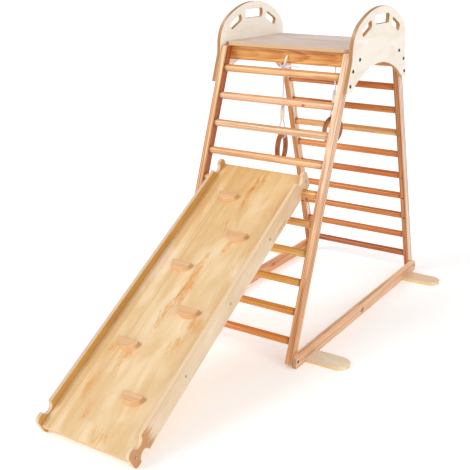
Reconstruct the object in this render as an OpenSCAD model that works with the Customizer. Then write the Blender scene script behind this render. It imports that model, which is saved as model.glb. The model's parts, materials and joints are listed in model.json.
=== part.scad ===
// Indoor climbing tower for toddlers: two ladders leaning together under a small
// platform, arched side panels with grips, base rails with outrigger feet, a hook-on
// slide board with climbing stones, and two gym rings on ropes.
// Frame: +X runs along the rungs, +Y points away from the slide, +Z is up.

/* [Tower] */
// Width over the outer faces of the posts
frame_width = 600; // [540:10:660]
// Height of the underside of the platform
platform_z = 1212; // [1200:1:1225]
// Lean of each ladder from the vertical
ladder_lean = 19.1; // [18:0.1:20]
// Half the distance over the post faces at platform height
top_half = 274.5; // [270:0.5:280]
// Thickness of a post along X
post_thick = 28; // [26:1:30]
// Depth of a post across the ladder
post_depth = 45; // [44:1:48]
// Radius of the outer lower corner of a post
post_round = 12; // [4:1:16]

/* [Rungs] */
// Diameter of every rung
rung_d = 32; // [28:1:33]
// Rungs on each ladder
rung_count = 10; // [10:1:10]
// Spacing of the rungs along the ladder
rung_pitch = 120; // [118:1:120]
// Drop from the platform to the axis of the top rung
rung_drop = 93; // [90:1:95]
// Depth of the blind holes that hold the rung ends
rung_socket = 20; // [16:1:22]

/* [Platform and aprons] */
// Thickness of the platform board
platform_thick = 15; // [12:1:18]
// Half the depth of the platform board
platform_half = 260; // [255:1:266]
// Chamfer at the four corners of the platform
platform_chamfer = 30; // [10:1:32]
// Thickness of an apron board
apron_thick = 28; // [24:1:30]
// Height of an apron board
apron_height = 62; // [58:1:64]
// Bore that the hanging rope passes through
rope_hole_d = 10; // [9:0.5:12]

/* [Side panels] */
// Thickness of a side panel
panel_thick = 18; // [15:1:20]
// Rise of the arch's crown above the underside of the platform
crown_rise = 174; // [170:1:178]
// Half width of the panel under its arch
panel_half = 285; // [284:1:286]
// Radius of the two shoulders of the arch
shoulder_r = 120; // [118:1:122]
// Rise of the shoulders' centres above the underside of the platform
shoulder_rise = 9; // [6:1:12]
// Drop from the platform to the ends of the panel legs
panel_drop = 150; // [148:1:152]
// Radius of the arched cut-out between the legs
cutout_r = 462; // [455:1:470]
// Drop from the platform to the crown of the cut-out
cutout_drop = 60; // [58:1:64]
// Height of the middle grip slot
grip_h = 38; // [34:1:40]
// Corner radius of the grip slots
grip_round = 12; // [8:1:16]
// Length of the middle grip slot
grip_mid_len = 150; // [140:2:154]
// Height of the slanted grip slots
grip_side_h = 31; // [28:1:34]
// Length of the slanted grip slots
grip_side_len = 96; // [90:2:108]
// Slant of the side grip slots
grip_slant = 23; // [20:1:32]

/* [Base] */
// Height of a base rail
rail_height = 60; // [56:1:64]
// Thickness of a base rail
rail_thick = 20; // [18:1:24]
// Half the length of a base rail
rail_half = 674; // [670:1:678]
// Radius of the upper corners of a base rail
rail_round = 28; // [20:1:32]
// Length of an outrigger foot
foot_len = 172; // [160:2:190]
// Width of an outrigger foot
foot_width = 98; // [90:2:104]
// Thickness of an outrigger foot
foot_thick = 18; // [15:1:20]
// Distance of each foot from the middle of the tower
foot_y = 545; // [540:1:550]

/* [Slide board] */
// Width over the slide's side rails
slide_width = 410; // [400:2:420]
// Distance between the end screws of a side rail
slide_span = 1325; // [1315:1:1335]
// Height of a side rail
side_height = 84; // [82:1:86]
// Thickness of a side rail
side_thick = 15; // [12:1:18]
// Length of a side rail beyond its end screw
side_end = 24; // [22:1:30]
// Corner radius at the ends of a side rail
side_round = 18; // [12:1:20]
// Radius of the notches that hook over a rung
notch_r = 24; // [22:0.5:24]
// Depth of the notches
notch_depth = 27; // [26:0.5:28]
// Distance of a notch from the end screw
notch_s = 36; // [35:0.5:38]
// Thickness of the slide board
slide_thick = 18; // [15:1:18]
// Length of the slide board beyond the end screws
slide_over = 20; // [16:1:24]
// Rung that carries the slide, counted from the top
hook_rung = 5; // [5:1:5]
// Clearance between the hooks and the rung
hook_gap = 0.4; // [0.3:0.1:0.6]

/* [Climbing stones] */
// Climbing stones on the slide board
stone_count = 6; // [6:1:6]
// Length of a stone across the slide
stone_len = 100; // [90:2:106]
// Width of a stone along the slide
stone_width = 44; // [38:2:48]
// Thickness of a stone
stone_thick = 20; // [16:1:24]
// Draft of a stone's curved side
stone_draft = 6; // [3:1:8]
// Spacing of the stones along the slide
stone_pitch = 195; // [170:5:200]
// Distance of a stone from the slide's centre line
stone_x = 74; // [60:2:90]

/* [Gym rings] */
// Outer diameter of a ring
ring_od = 140; // [136:2:144]
// Diameter of the ring's bar
ring_bar = 22; // [20:1:22]
// Diameter of the rope
rope_d = 7; // [6:0.5:7]
// Diameter of the knot under an apron
knot_d = 24; // [20:1:24]

/* [Fasteners] */
// Diameter of a bolt head
bolt_head_d = 14; // [10:1:15]
// Height of a bolt head
bolt_head_h = 3; // [2:0.5:4]
// Diameter of a bolt shank
bolt_d = 6; // [5:1:8]
// Size of the hexagon socket in a bolt head, over its corners
bolt_hex = 5.5; // [4:0.5:6]
// Diameter of a screw head
screw_head_d = 9; // [7:0.5:10]
// Height of a screw head
screw_head_h = 3; // [2:0.5:3]
// Diameter of a screw shank
screw_d = 4; // [3:0.5:5]

/* [Hidden] */
$fn = 64;
over = 1;                        // overshoot of the cutting tools
half_w = frame_width / 2;
clear_w = frame_width - 2 * post_thick;
rung_len = clear_w + 2 * rung_socket;
inner_w = slide_width - 2 * side_thick;

// Ladder geometry: outer face of a ladder and axis of its rungs, for the rear side
lean_tan = tan(ladder_lean);
across = post_depth / cos(ladder_lean);
function face_y(z) = top_half + (platform_z - z) * lean_tan;
function axis_y(z) = face_y(z) - across / 2;
function rung_z(k) = platform_z - rung_drop - (k - 1) * rung_pitch * cos(ladder_lean);

// Aprons stand just inside the posts, and the ropes hang just outside the aprons
apron_face = top_half - across;
apron_y = apron_face - apron_thick / 2;
rope_hole_z = platform_z - 30;
hang_y = 240;
knot_z = 1134;
ring_top_z = 849;
front_drop_x = -11;              // the ropes hang a little to the side of their holes
rear_drop_x = -5;
front_twist = 11;                // turn of the front ring about its rope
rear_twist = -15;                // turn of the rear ring about its rope
strand_x = 4.6;                  // the rope's two strands run side by side in the adjuster
strand_bore = rope_d + 0.6;

// Slide geometry: s runs up the slope from the lower end screw, and the slope is the one
// at which the lower ends touch the floor while the upper hooks sit on their rung
hook_s = slide_span - notch_s;
hook_off = side_height / 2 - notch_depth + rung_d / 2 + hook_gap;
end_in = side_end - side_round;
edge_in = side_height / 2 - side_round;
function low_screw_z(a) = side_round + end_in * sin(a) + edge_in * cos(a);
function hook_error(a) = low_screw_z(a) + hook_s * sin(a) - hook_off * cos(a)
    - rung_z(hook_rung);
function solve_slope(lo, hi, n) = n == 0 ? (lo + hi) / 2
    : hook_error((lo + hi) / 2) > 0 ? solve_slope(lo, (lo + hi) / 2, n - 1)
    : solve_slope((lo + hi) / 2, hi, n - 1);
slope = solve_slope(20, 40, 40);
slide_y = -axis_y(rung_z(hook_rung)) - hook_s * cos(slope) - hook_off * sin(slope);
slide_z = low_screw_z(slope);

// The origin lies on the floor under the middle of the whole object's box
y_min = slide_y - end_in * cos(slope) - edge_in * sin(slope) - side_round;
y_max = face_y(post_depth * sin(ladder_lean))
    + post_round * (1 - cos(ladder_lean) - sin(ladder_lean));
y_shift = -(y_min + y_max) / 2;

// Fasteners
rung_screw_len = 30;
frame_screw_len = 60;
slide_screw_len = 40;
screw_proud = 2;                 // height of the pan heads on the slide
post_bolt_len = 22;              // shank inside a post
apron_bolt_len = 35;             // shank inside an apron's end
rail_bolt_z = rail_height / 2;
rail_sink = 4;                   // counterbore that hides a base rail bolt's head
bolt_drop = [27, 68, 125];       // below the platform: one in the apron, two in the post
platform_screw_x = [-240, -110, 110, 240];
foot_screw_y = [-26, 26];

// Route of the rope round the front apron, from the knot up, through and back to the knot
loop_route = [
    [0, -240, 1146.5], [0, -240, 1153], [0, -240, 1160], [0, -240, 1168],
    [0, -238.5, 1175], [0, -234, 1180], [0, -227, 1182], [0, -213, 1182],
    [0, -199, 1182], [0, -192, 1180], [0, -187.5, 1175], [0, -186, 1168],
    [0, -186, 1158], [0, -186, 1148], [0, -188, 1141], [0, -193, 1136],
    [0, -200, 1134], [0, -210, 1134], [0, -220, 1134], [0, -227.5, 1134]
];
// Route of the rope's loose end beside the knot
tail_route = [
    [12.2, -240, 1136], [20, -240, 1139], [30, -240, 1142], [40, -240, 1143.5],
    [50, -240, 1143.5], [60, -240, 1142], [70, -240, 1139.5]
];
// Route of the front rope, from the knot down, round the ring's bar and up to the adjuster
rope_route = [
    [0, -240, 1121.5], [0, -240, 1100], [0, -240, 1070], [0, -240, 1045],
    [0, -240, 1028], [-1, -240, 1015], [-3.2, -240, 1002], [-4.6, -240, 988],
    [-4.6, -240, 972], [-4.6, -240, 955], [-4.6, -240, 935], [-4.6, -240, 914],
    [-6.5, -240, 900], [-10.5, -240, 886],
    [-14, -240, 872], [-15.5, -240, 860], [-15.5, -240, 849], [-13.5, -240, 841],
    [-8, -240, 835.5], [0, -240, 833.5], [8, -240, 835.5], [13.5, -240, 841],
    [15.5, -240, 849], [15.5, -240, 860], [14, -240, 872], [10.5, -240, 886],
    [6.5, -240, 900], [4.6, -240, 914], [4.6, -240, 935], [4.6, -240, 955],
    [4.6, -240, 970]
];

// ---- Placing helpers ----
module placed() translate([0, y_shift, 0]) children();
module front() mirror([0, 1, 0]) children();
module half_turn() rotate([0, 0, 180]) children();
module left() mirror([1, 0, 0]) children();
// Extrudes an outline drawn in Y and Z along +X, starting at x
module plate(x, thick) translate([x, 0, 0]) rotate([90, 0, 90]) linear_extrude(thick) children();
module on_slope() translate([0, slide_y, slide_z]) rotate([slope, 0, 0]) children();
module at_rung(k) translate([0, axis_y(rung_z(k)), rung_z(k)]) children();
module x_bore(x0, x1, d) translate([x0, 0, 0]) rotate([0, 90, 0]) cylinder(h = x1 - x0, d = d);

// ---- Fasteners ----
// A screw points along +Z with the top of its head at z = 0
module screw(len) {
    cylinder(h = screw_head_h, d = screw_head_d);
    cylinder(h = len, d = screw_d);
}
// A bolt points along -X; its head stands on the plane x = 0
module bolt(len) {
    x_bore(-len, 0, bolt_d);
    difference() {
        x_bore(0, bolt_head_h, bolt_head_d);
        translate([bolt_head_h / 2, 0, 0]) rotate([0, 90, 0])
            cylinder(h = bolt_head_h, d = bolt_hex, $fn = 6);
        translate([bolt_head_h, 0, 0]) rotate([0, 90, 0]) head_round();
    }
}
// Ring that rounds off the rim of a bolt head
module head_round() rotate_extrude() difference() {
    translate([bolt_head_d / 2 - 1.5, -1.5]) square(3);
    translate([bolt_head_d / 2 - 1.5, -1.5]) circle(1.5);
}
// Two screws from the inside of a ladder hold the ends of rung k
module rung_screw_pair(k) at_rung(k) for (x = [-1, 1] * (half_w - post_thick / 2))
    translate([x, 0, 0]) rotate([ladder_lean - 90, 0, 0])
        translate([0, 0, -post_depth / 2]) screw(rung_screw_len);
// Bolts of the right panel's rear leg: one into the apron, two into the post
module panel_bolt_set() translate([half_w + panel_thick, 0, 0]) {
    translate([0, apron_y, platform_z - bolt_drop[0]]) bolt(panel_thick + apron_bolt_len);
    for (d = [bolt_drop[1], bolt_drop[2]])
        translate([0, axis_y(platform_z - d), platform_z - d]) bolt(panel_thick + post_bolt_len);
}
module rail_bolt() translate([half_w + rail_thick - rail_sink, axis_y(rail_bolt_z), rail_bolt_z])
    bolt(rail_thick - rail_sink + post_bolt_len);
// Two screws from behind the right rail hold the right rear foot
module foot_screw_pair() for (y = foot_screw_y)
    translate([half_w, foot_y + y, foot_thick / 2]) rotate([0, 90, 0]) screw(frame_screw_len);
module platform_screw_row() for (x = platform_screw_x)
    translate([x, apron_y, platform_z + platform_thick]) mirror([0, 0, 1]) screw(frame_screw_len);
module slide_screw_row() for (i = [0:4])
    translate([slide_width / 2 + screw_proud, i * slide_span / 4, 0]) rotate([0, -90, 0])
        screw(slide_screw_len);
function stone_s(n) = slide_span / 2 + (stone_count / 2 + 0.5 - n) * stone_pitch;
function stone_side(n) = n % 2 == 1 ? -stone_x : stone_x;

// ---- Ladders ----
// Square-cut lower end: its inner corner stands on the floor, its outer one is rounded
module post_outline() difference() {
    polygon([[apron_face, platform_z], [top_half, platform_z],
             [face_y(post_depth * sin(ladder_lean)), post_depth * sin(ladder_lean)],
             [face_y(0) - across, 0]]);
    translate([face_y(post_depth * sin(ladder_lean)), post_depth * sin(ladder_lean)])
        rotate(ladder_lean) difference() {
            translate([-post_round, -over]) square(post_round + over);
            translate([-post_round, post_round]) circle(post_round);
        }
}
module right_rear() difference() {
    plate(half_w - post_thick, post_thick) post_outline();
    for (k = [1:rung_count]) {
        at_rung(k) x_bore(half_w - post_thick - over, half_w - post_thick + rung_socket, rung_d);
        rung_screw_pair(k);
    }
    panel_bolt_set();
    rail_bolt();
}
module post(name) color([0.87, 0.62, 0.38]) placed()
    if (name == "right_rear") right_rear();
    else if (name == "left_rear") left() right_rear();
    else if (name == "right_front") front() right_rear();
    else front() left() right_rear();
module rear_rung(k) difference() {
    at_rung(k) x_bore(-rung_len / 2, rung_len / 2, rung_d);
    rung_screw_pair(k);
}
module rung(k, rear) color([0.85, 0.58, 0.34]) placed()
    if (rear) rear_rung(k);
    else front() rear_rung(k);

// ---- Platform, aprons and side panels ----
module platform_board() color([0.86, 0.79, 0.74]) placed() difference() {
    translate([0, 0, platform_z]) linear_extrude(platform_thick) polygon([
        for (i = [0:3]) let (sx = [1, -1, -1, 1][i], sy = [1, 1, -1, -1][i],
            c = platform_chamfer, first = i % 2 == 0)
            for (j = [0, 1]) let (along_x = (j == 0) != first)
                [sx * (half_w - (along_x ? c : 0)), sy * (platform_half - (along_x ? 0 : c))]
    ]);
    platform_screw_row();
    half_turn() platform_screw_row();
}
module rear_apron_body() difference() {
    translate([-half_w, apron_face - apron_thick, platform_z - apron_height])
        cube([frame_width, apron_thick, apron_height]);
    translate([0, apron_face + over, rope_hole_z]) rotate([90, 0, 0])
        cylinder(h = apron_thick + 2 * over, d = rope_hole_d);
    panel_bolt_set();
    left() panel_bolt_set();
    platform_screw_row();
}
module apron(rear) color([0.84, 0.57, 0.32]) placed()
    if (rear) rear_apron_body();
    else half_turn() rear_apron_body();

module slot(len, high) {
    square([len - 2 * grip_round, high], center = true);
    square([len, high - 2 * grip_round], center = true);
    for (x = [-1, 1], y = [-1, 1])
        translate([x * (len / 2 - grip_round), y * (high / 2 - grip_round)]) circle(grip_round);
}
// Legs follow the posts, then two shoulders and one wide arc close the top
module panel_outline() {
    crown = platform_z + crown_rise;
    shoulder_z = platform_z + shoulder_rise;
    shoulder_y = panel_half - shoulder_r;
    h = crown - shoulder_z;
    arch_r = (pow(shoulder_y, 2) + pow(h, 2) - pow(shoulder_r, 2)) / (2 * (h - shoulder_r));
    arch_z = crown - arch_r;
    reach = 1.2 * arch_r / (shoulder_z - arch_z);
    leg_z = platform_z - panel_drop;
    bend_z = platform_z - (panel_half - top_half) / lean_tan;
    intersection() {
        translate([0, arch_z]) circle(arch_r, $fn = 256);
        polygon([[0, arch_z], [reach * shoulder_y, arch_z + reach * (shoulder_z - arch_z)],
                 [-reach * shoulder_y, arch_z + reach * (shoulder_z - arch_z)]]);
    }
    for (y = [-1, 1]) translate([y * shoulder_y, shoulder_z]) circle(shoulder_r, $fn = 128);
    polygon([[panel_half, shoulder_z], [panel_half, bend_z], [face_y(leg_z), leg_z],
             [-face_y(leg_z), leg_z], [-panel_half, bend_z], [-panel_half, shoulder_z]]);
}
module panel_holes() {
    translate([0, platform_z - cutout_drop - cutout_r]) circle(cutout_r, $fn = 256);
    translate([0, platform_z + 122]) slot(grip_mid_len, grip_h);
    for (y = [-1, 1]) translate([y * 155, platform_z + 91]) rotate(-y * grip_slant)
        slot(grip_side_len, grip_side_h);
}
module right_panel_body() difference() {
    plate(half_w, panel_thick) difference() { panel_outline(); panel_holes(); }
    panel_bolt_set();
    front() panel_bolt_set();
}
module side_panel(right) color([0.97, 0.93, 0.86]) placed()
    if (right) right_panel_body();
    else left() right_panel_body();

// ---- Base rails and feet ----
module rail_outline() {
    translate([-rail_half, 0]) square([2 * rail_half, rail_height - rail_round]);
    translate([-rail_half + rail_round, 0]) square([2 * (rail_half - rail_round), rail_height]);
    for (y = [-1, 1]) translate([y * (rail_half - rail_round), rail_height - rail_round])
        circle(rail_round);
}
module rail_bolt_bore() {
    rail_bolt();
    translate([0, axis_y(rail_bolt_z), rail_bolt_z])
        x_bore(half_w + rail_thick - rail_sink, half_w + rail_thick + over, bolt_head_d + 1);
}
module right_rail_body() difference() {
    plate(half_w, rail_thick) rail_outline();
    rail_bolt_bore();
    front() rail_bolt_bore();
    foot_screw_pair();
    front() foot_screw_pair();
}
module base_rail(right) color([0.88, 0.65, 0.45]) placed()
    if (right) right_rail_body();
    else left() right_rail_body();
module right_rear_foot_body() difference() {
    translate([half_w + rail_thick, foot_y, 0]) linear_extrude(foot_thick) {
        translate([0, -foot_width / 2]) square([foot_len - foot_width / 2, foot_width]);
        translate([foot_len - foot_width / 2, 0]) circle(d = foot_width);
    }
    foot_screw_pair();
}
module foot(right, rear) color([0.93, 0.82, 0.63]) placed()
    mirror([right ? 0 : 1, 0, 0]) mirror([0, rear ? 0 : 1, 0]) right_rear_foot_body();

// ---- Slide board ----
module slide_board() color([0.94, 0.82, 0.60]) placed() on_slope() difference() {
    translate([-inner_w / 2, -slide_over, -slide_thick / 2])
        cube([inner_w, slide_span + 2 * slide_over, slide_thick]);
    slide_screw_row();
    left() slide_screw_row();
}
// Rounded board with a hook notch in both edges near both ends
module side_rail_outline() {
    len = slide_span + 2 * side_end;
    difference() {
        union() {
            translate([-side_end, -edge_in]) square([len, 2 * edge_in]);
            translate([-end_in, -side_height / 2]) square([slide_span + 2 * end_in, side_height]);
            for (s = [-end_in, slide_span + end_in], z = [-1, 1])
                translate([s, z * edge_in]) circle(side_round);
        }
        for (s = [notch_s, hook_s], z = [-1, 1])
            translate([s, z * (side_height / 2 - notch_depth + notch_r)]) circle(notch_r);
    }
}
module right_side_rail() difference() {
    plate(inner_w / 2, side_thick) side_rail_outline();
    slide_screw_row();
}
module slide_rail(right) color([0.93, 0.80, 0.58]) placed() on_slope()
    if (right) right_side_rail();
    else left() right_side_rail();
// Half-moon grip: flat side up the slope, drafted curved side down the slope
module climbing_stone(n) color([0.91, 0.75, 0.57]) placed() on_slope()
    translate([stone_side(n), stone_s(n), slide_thick / 2]) difference() {
        translate([0, stone_len / 2 - stone_width / 2, 0])
            cylinder(h = stone_thick, r1 = stone_len / 2, r2 = stone_len / 2 - stone_draft);
        translate([-stone_len, stone_width / 2, -over])
            cube([2 * stone_len, stone_len, stone_thick + 2 * over]);
    }

// ---- Rings and ropes ----
// Sweeps a tube with flat ends along a route whose rings all stand across its plane
function unit(v) = v / norm(v);
function heading(r, i) = unit(r[min(i + 1, len(r) - 1)] - r[max(i - 1, 0)]);
module tube(route, normal, d, sides = 10) {
    n = len(route);
    points = [for (i = [0:n - 1]) let (side = cross(heading(route, i), normal))
        for (j = [0:sides - 1]) let (a = 360 * j / sides)
            route[i] + d / 2 * (cos(a) * normal + sin(a) * side)];
    walls = [for (i = [0:n - 2], j = [0:sides - 1])
        [i * sides + j, (i + 1) * sides + j,
         (i + 1) * sides + (j + 1) % sides, i * sides + (j + 1) % sides]];
    polyhedron(points, concat(
        [[for (j = [0:sides - 1]) j]], walls,
        [[for (j = [sides - 1:-1:0]) (n - 1) * sides + j]]));
}
module rope_place(rear) color([0.95, 0.94, 0.92]) placed()
    rotate([0, 0, rear ? 180 : 0]) children();
// Moves a thing drawn on the rope's line to where that rope hangs, turned about it
function drop_x(rear) = rear ? rear_drop_x : front_drop_x;
module hung(rear) translate([drop_x(rear), -hang_y, 0])
    rotate([0, 0, rear ? rear_twist : front_twist]) translate([0, hang_y, 0]) children();
// The loop leans from the hole in the apron to the knot
function leaning(rear) = [for (p = loop_route)
    [drop_x(rear) * (rope_hole_z - p[2]) / (rope_hole_z - knot_z), p[1], p[2]]];
module hanger_loop(rear) rope_place(rear) tube(leaning(rear), [1, 0, 0], rope_d);
module hanger_knot(rear) rope_place(rear) translate([drop_x(rear), 0, 0]) {
    translate([0, -hang_y, knot_z]) sphere(d = knot_d);
    tube(tail_route, [0, 1, 0], rope_d);
}
module hanging_rope(rear) rope_place(rear) hung(rear) tube(rope_route, [0, 1, 0], rope_d);
// Plate with two bores, and the stopper knot that rests on it
module adjuster(rear) color([0.80, 0.76, 0.66]) placed() rotate([0, 0, rear ? 180 : 0])
    hung(rear) translate([0, -hang_y, 0]) {
        difference() {
            translate([-10.5, -6, 917]) cube([21, 12, 39]);
            for (x = [-1, 1] * strand_x) translate([x, 0, 916]) cylinder(h = 41, d = strand_bore);
        }
        difference() {
            translate([0, 0, 967.2]) rotate(90) sphere(d = 22);
            translate([-strand_x, 0, 945]) cylinder(h = 44, d = strand_bore);
            translate([strand_x, 0, 945]) cylinder(h = 25, d = strand_bore);
        }
    }
module ring(rear) color([0.80, 0.50, 0.28]) placed() rotate([0, 0, rear ? 180 : 0])
    hung(rear) translate([0, -hang_y, ring_top_z - (ring_od - ring_bar) / 2]) rotate([0, 90, 0])
        rotate_extrude($fn = 128) translate([(ring_od - ring_bar) / 2, 0]) circle(d = ring_bar);

// ---- Groups of fasteners ----
module quarters() { children(); left() children(); front() { children(); left() children(); } }
module panel_bolts() color([0.25, 0.24, 0.23]) placed() quarters() panel_bolt_set();
module base_rail_bolts() color([0.25, 0.24, 0.23]) placed() quarters() rail_bolt();
module rung_screws() color([0.35, 0.33, 0.31]) placed()
    for (k = [1:rung_count]) { rung_screw_pair(k); front() rung_screw_pair(k); }
module slide_screws() color([0.72, 0.73, 0.74]) placed() on_slope() {
    slide_screw_row();
    left() slide_screw_row();
}
module frame_screws() color([0.72, 0.73, 0.74]) placed() {
    quarters() foot_screw_pair();
    platform_screw_row();
    half_turn() platform_screw_row();
}

post("left_front");  // left_front_post
post("right_front");  // right_front_post
post("left_rear");  // left_rear_post
post("right_rear");  // right_rear_post
rung(1, false);  // front_rung_1
rung(2, false);  // front_rung_2
rung(3, false);  // front_rung_3
rung(4, false);  // front_rung_4
rung(5, false);  // front_rung_5
rung(6, false);  // front_rung_6
rung(7, false);  // front_rung_7
rung(8, false);  // front_rung_8
rung(9, false);  // front_rung_9
rung(10, false);  // front_rung_10
rung(1, true);  // rear_rung_1
rung(2, true);  // rear_rung_2
rung(3, true);  // rear_rung_3
rung(4, true);  // rear_rung_4
rung(5, true);  // rear_rung_5
rung(6, true);  // rear_rung_6
rung(7, true);  // rear_rung_7
rung(8, true);  // rear_rung_8
rung(9, true);  // rear_rung_9
rung(10, true);  // rear_rung_10
platform_board();
apron(false);  // front_apron
apron(true);  // rear_apron
side_panel(false);  // left_side_panel
side_panel(true);  // right_side_panel
base_rail(false);  // left_base_rail
base_rail(true);  // right_base_rail
foot(false, false);  // left_front_foot
foot(true, false);  // right_front_foot
foot(false, true);  // left_rear_foot
foot(true, true);  // right_rear_foot
slide_board();
slide_rail(false);  // left_slide_rail
slide_rail(true);  // right_slide_rail
climbing_stone(1);  // climbing_stone_1
climbing_stone(2);  // climbing_stone_2
climbing_stone(3);  // climbing_stone_3
climbing_stone(4);  // climbing_stone_4
climbing_stone(5);  // climbing_stone_5
climbing_stone(6);  // climbing_stone_6
ring(false);  // front_ring
ring(true);  // rear_ring
hanging_rope(false);  // front_rope
hanging_rope(true);  // rear_rope
hanger_loop(false);  // front_hanger_loop
hanger_loop(true);  // rear_hanger_loop
hanger_knot(false);  // front_hanger_knot
hanger_knot(true);  // rear_hanger_knot
adjuster(false);  // front_rope_adjuster
adjuster(true);  // rear_rope_adjuster
panel_bolts();
base_rail_bolts();
rung_screws();
slide_screws();
frame_screws();
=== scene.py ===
"""Indoor climbing tower with a hook-on slide board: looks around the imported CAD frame.

Everything is in metres in the part's own frame: +X along the rungs, +Y away from the slide,
+Z up. Patterns are worked out in millimetres in each board's own axes.
"""

import json
import math
import random

import bmesh
import bpy
from mathutils import Euler, Matrix, Vector

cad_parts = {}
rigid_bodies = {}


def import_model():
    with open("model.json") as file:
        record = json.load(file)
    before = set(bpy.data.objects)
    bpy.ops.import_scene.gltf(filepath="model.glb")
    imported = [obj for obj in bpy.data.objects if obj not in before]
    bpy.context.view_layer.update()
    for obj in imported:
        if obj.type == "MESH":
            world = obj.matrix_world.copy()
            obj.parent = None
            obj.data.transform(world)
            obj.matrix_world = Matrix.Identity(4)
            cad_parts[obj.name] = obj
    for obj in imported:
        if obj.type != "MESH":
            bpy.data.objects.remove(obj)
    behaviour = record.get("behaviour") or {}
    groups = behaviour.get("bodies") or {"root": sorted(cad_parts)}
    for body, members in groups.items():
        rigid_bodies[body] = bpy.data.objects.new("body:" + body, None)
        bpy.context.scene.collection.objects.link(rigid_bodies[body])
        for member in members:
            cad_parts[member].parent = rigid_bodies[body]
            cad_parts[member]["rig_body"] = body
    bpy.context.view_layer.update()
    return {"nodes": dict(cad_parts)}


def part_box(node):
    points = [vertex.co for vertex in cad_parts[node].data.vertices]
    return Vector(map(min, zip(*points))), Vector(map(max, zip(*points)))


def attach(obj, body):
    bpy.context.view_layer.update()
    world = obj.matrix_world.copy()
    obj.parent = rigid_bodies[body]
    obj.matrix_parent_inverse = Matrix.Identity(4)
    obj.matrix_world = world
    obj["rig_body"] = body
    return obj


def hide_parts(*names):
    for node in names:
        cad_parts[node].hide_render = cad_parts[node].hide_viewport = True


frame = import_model()
nodes = frame["nodes"]

# ---------------------------------------------------------------- places taken from the frame
LEAN = math.radians(19.1)
platform_low, platform_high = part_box("platform_board")
TOWER_Y = (platform_low.y + platform_high.y) / 2


def slide_axes():
    """(middle, up the slope, out of the board) from the slide board's own corners."""
    points = [v.co for v in nodes["slide_board"].data.vertices]
    foot = min(points, key=lambda p: (round(p.y, 5), p.x))
    head = max(points, key=lambda p: (round(p.z, 5), -p.x))
    up = Vector((0, head.y - foot.y, head.z - foot.z)).normalized()
    out = Vector((0, -up.z, up.y))
    low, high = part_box("slide_board")
    return (low + high) / 2, up, out


SLIDE_MIDDLE, SLIDE_UP, SLIDE_OUT = slide_axes()

# ---------------------------------------------------------------- camera
AZIMUTH, PITCH, ROLL = (math.radians(a) for a in (33.24, 18.36, 0.16))
DISTANCE = 4.26634
TARGET = Vector((-0.54326, TOWER_Y, 0.2407))
SENSOR, LENS = 36.0, 63.97
SHIFT = (0.0553, -0.0071)


def make_camera():
    back = Vector((math.sin(AZIMUTH) * math.cos(PITCH),
                   -math.cos(AZIMUTH) * math.cos(PITCH), math.sin(PITCH)))
    right = (-back).cross(Vector((0, 0, 1))).normalized()
    up = back.cross(right)
    right, up = (right * math.cos(ROLL) + up * math.sin(ROLL),
                 up * math.cos(ROLL) - right * math.sin(ROLL))
    data = bpy.data.cameras.new("camera")
    data.sensor_width = SENSOR
    data.lens = LENS
    data.shift_x, data.shift_y = SHIFT
    data.clip_end = 100
    cam = bpy.data.objects.new("camera", data)
    cam.matrix_world = Matrix.Translation(TARGET + back * DISTANCE) @ \
        Matrix((right, up, back)).transposed().to_4x4()
    bpy.context.scene.collection.objects.link(cam)
    bpy.context.scene.camera = cam


make_camera()


# ---------------------------------------------------------------- shader helper
def linear(rgb):
    """sRGB bytes to the linear RGBA that shader sockets take."""
    values = [c / 255 for c in rgb]
    return tuple(c / 12.92 if c <= 0.04045 else ((c + 0.055) / 1.055) ** 2.4
                 for c in values) + (1.0,)


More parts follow.
